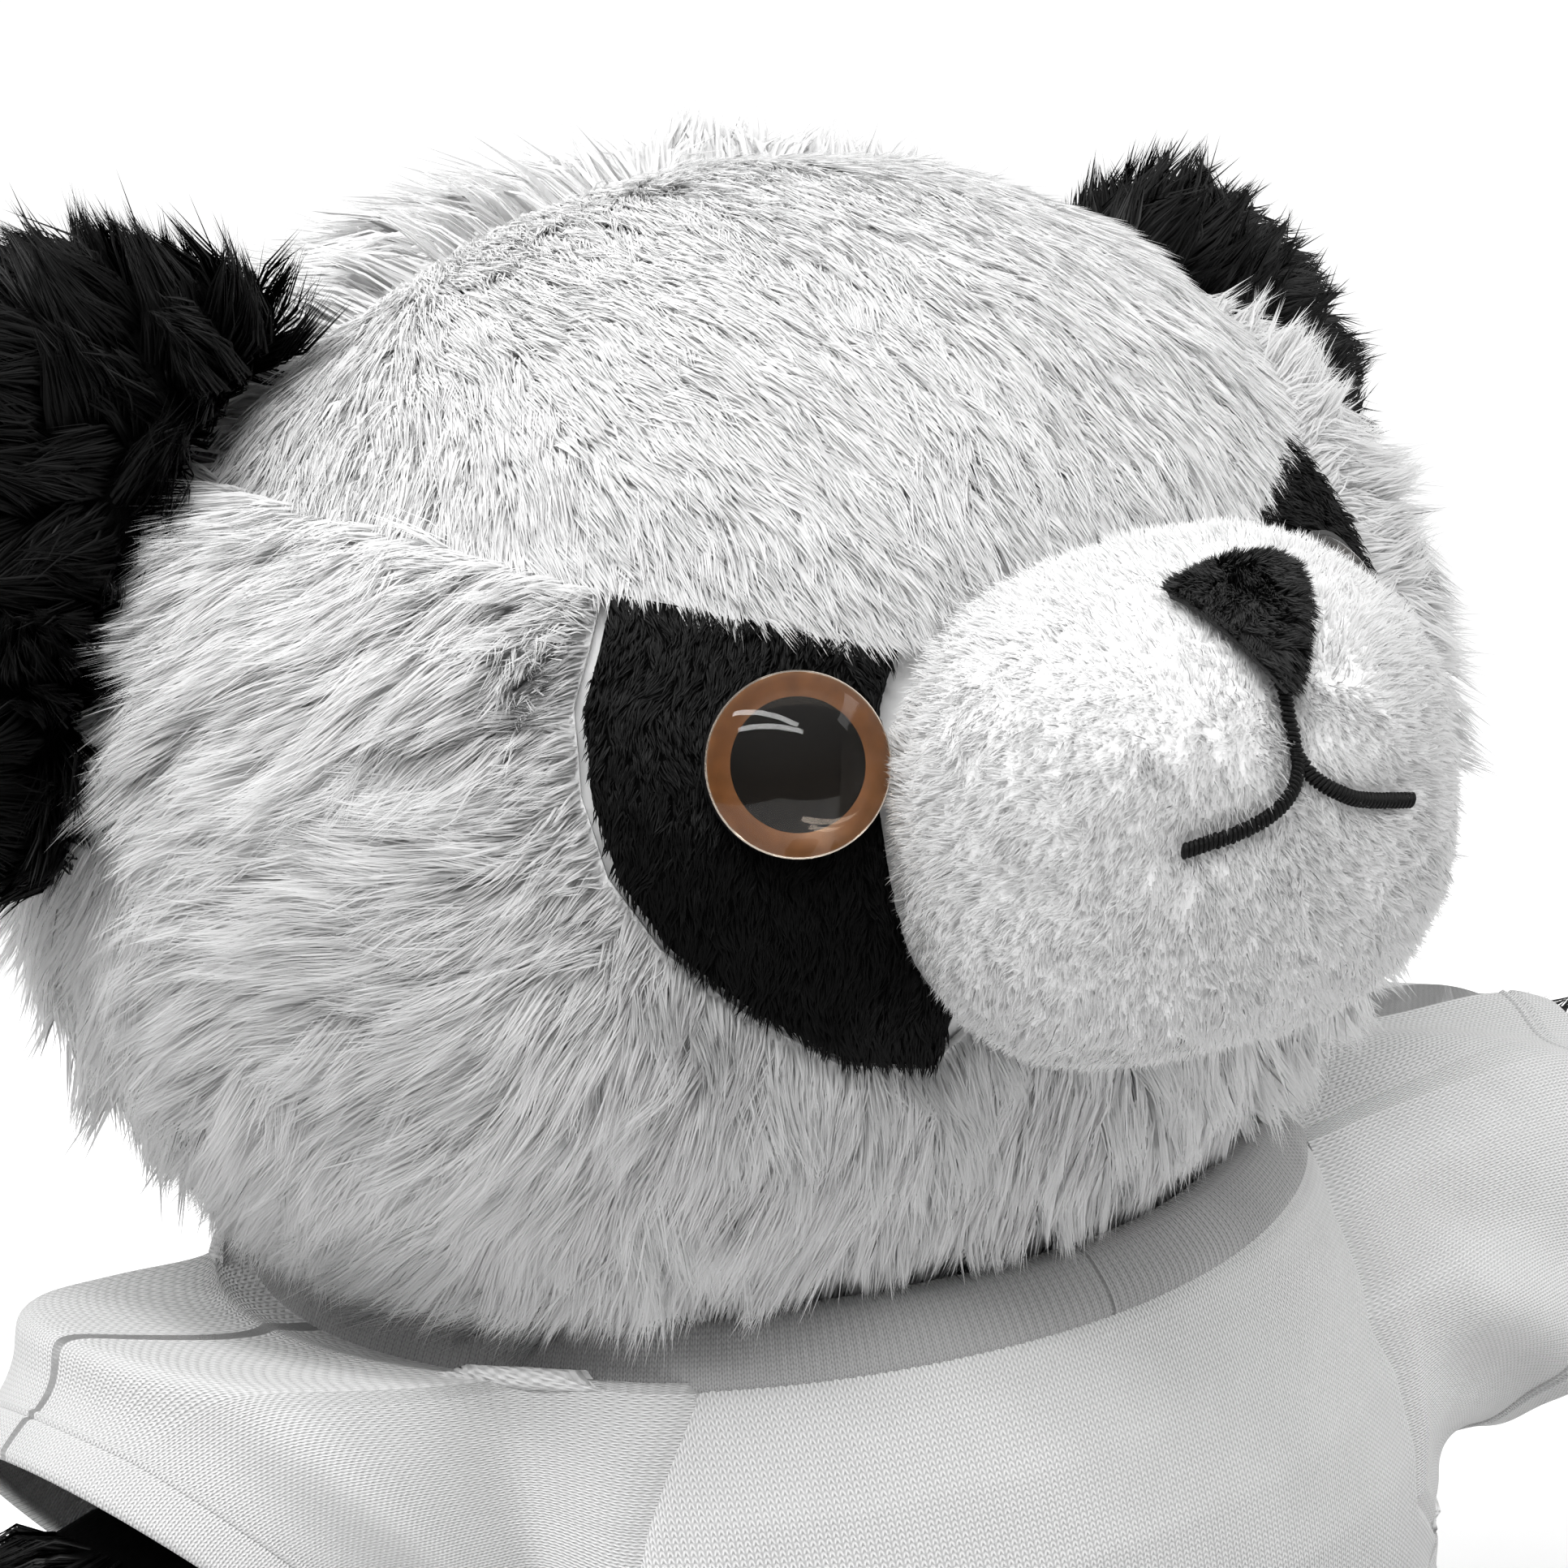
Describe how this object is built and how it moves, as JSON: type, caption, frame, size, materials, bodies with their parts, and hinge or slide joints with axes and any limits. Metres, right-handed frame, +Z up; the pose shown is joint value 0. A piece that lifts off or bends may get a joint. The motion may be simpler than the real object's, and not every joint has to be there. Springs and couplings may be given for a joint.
{
  "type": "seated plush panda in a t-shirt",
  "caption": "Seated stuffed panda toy: round long-pile head with short-pile muzzle and eye patches, domed plastic eyes, floppy ears, stuffed limbs and a plain white knitted T-shirt.",
  "frame": {"origin": "centre of the flat seat, on the surface the toy sits on", "axes": "+Z up; the toy faces -Y; its own left side is +X and its right side is -X"},
  "size_m": [0.2396, 0.1708, 0.188],
  "materials": {
    "fur_white": "long white pile on a knitted backing",
    "fur_black": "long black pile on a knitted backing",
    "short_pile_white": "short shorn white pile",
    "short_pile_black": "short shorn black pile",
    "stuffing": "loose polyester fibre",
    "jersey": "white single jersey knit",
    "rib": "white 1x1 rib knit",
    "nose_felt": "charcoal short pile",
    "thread": "black satin stitching",
    "eye_clear": "clear moulded dome",
    "eye_brown": "amber brown ring",
    "eye_black": "black moulding",
    "washer": "white moulded washer"
  },
  "bodies": {
    "torso": {"body_stuffing": "stuffing", "belly_panel": "fur_white", "back_panel": "fur_white", "seat_panel": "fur_white", "tail_cover": "fur_white", "tail_stuffing": "stuffing", "shirt_front": "jersey", "shirt_back": "jersey", "shirt_hem_band": "jersey", "collar_rib": "rib", "sleeve_left": "jersey", "sleeve_right": "jersey", "sleeve_hem_left": "jersey", "sleeve_hem_right": "jersey"},
    "neck": {"neck_seam_band": "fur_white"},
    "head": {"head_stuffing": "stuffing", "crown_panel": "fur_white", "cheek_panel_left": "fur_white", "cheek_panel_right": "fur_white", "chin_panel": "fur_white", "head_back_left": "fur_white", "head_back_right": "fur_white", "muzzle_cover": "short_pile_white", "muzzle_stuffing": "stuffing", "nose": "nose_felt", "mouth": "thread", "eye_patch_left": "short_pile_black", "eye_lens_left": "eye_clear", "eye_iris_left": "eye_brown", "eye_pupil_left": "eye_black", "eye_shank_left": "eye_black", "eye_washer_left": "washer", "eye_patch_right": "short_pile_black", "eye_lens_right": "eye_clear", "eye_iris_right": "eye_brown", "eye_pupil_right": "eye_black", "eye_shank_right": "eye_black", "eye_washer_right": "washer"},
    "ear_left": {"ear_front_left": "fur_black", "ear_back_left": "fur_black"},
    "arm_left": {"arm_outer_left": "fur_black", "arm_inner_left": "fur_black", "arm_stuffing_left": "stuffing"},
    "leg_left": {"leg_top_left": "fur_black", "leg_under_left": "fur_black", "leg_stuffing_left": "stuffing", "sole_left": "short_pile_black"},
    "ear_right": {"ear_front_right": "fur_black", "ear_back_right": "fur_black"},
    "arm_right": {"arm_outer_right": "fur_black", "arm_inner_right": "fur_black", "arm_stuffing_right": "stuffing"},
    "leg_right": {"leg_top_right": "fur_black", "leg_under_right": "fur_black", "leg_stuffing_right": "stuffing", "sole_right": "short_pile_black"}
  },
  "joints": [
    {"name": "head_turn", "type": "hinge", "parent": "torso", "child": "neck", "pos_m": [0, 0, 0.0858], "axis": [0, 0, 1], "range_deg": [-25, 25], "stiffness_Nm_per_rad": 0.25, "deforming": ["collar_rib"]},
    {"name": "head_nod", "type": "hinge", "parent": "neck", "child": "head", "pos_m": [0, 0, 0.0858], "axis": [1, 0, 0], "range_deg": [-9, 8], "stiffness_Nm_per_rad": 0.6, "deforming": ["collar_rib"]},
    {"name": "ear_fold_left", "type": "hinge", "parent": "head", "child": "ear_left", "pos_m": [0.0585, 0.0022, 0.1486], "axis": [0.3507, 0, -0.9365], "range_deg": [-18, 18], "stiffness_Nm_per_rad": 0.05},
    {"name": "ear_fold_right", "type": "hinge", "parent": "head", "child": "ear_right", "pos_m": [-0.054, 0.0022, 0.1574], "axis": [0.5457, 0, 0.838], "range_deg": [-18, 18], "stiffness_Nm_per_rad": 0.05},
    {"name": "arm_raise_left", "type": "hinge", "parent": "torso", "child": "arm_left", "pos_m": [0.0615, -0.002, 0.077], "axis": [0, -1, 0], "range_deg": [-28, 36], "stiffness_Nm_per_rad": 0.2, "deforming": ["sleeve_left", "sleeve_hem_left"]},
    {"name": "arm_raise_right", "type": "hinge", "parent": "torso", "child": "arm_right", "pos_m": [-0.0615, -0.002, 0.077], "axis": [0, 1, 0], "range_deg": [-10, 54], "stiffness_Nm_per_rad": 0.2, "deforming": ["sleeve_right", "sleeve_hem_right"]},
    {"name": "leg_raise_left", "type": "hinge", "parent": "torso", "child": "leg_left", "pos_m": [0.031, -0.0464, 0.021], "axis": [-0.9781, -0.2079, 0], "range_deg": [0, 16], "stiffness_Nm_per_rad": 0.2},
    {"name": "leg_raise_right", "type": "hinge", "parent": "torso", "child": "leg_right", "pos_m": [-0.031, -0.0464, 0.021], "axis": [-0.9781, 0.2079, 0], "range_deg": [0, 16], "stiffness_Nm_per_rad": 0.2}
  ]
}
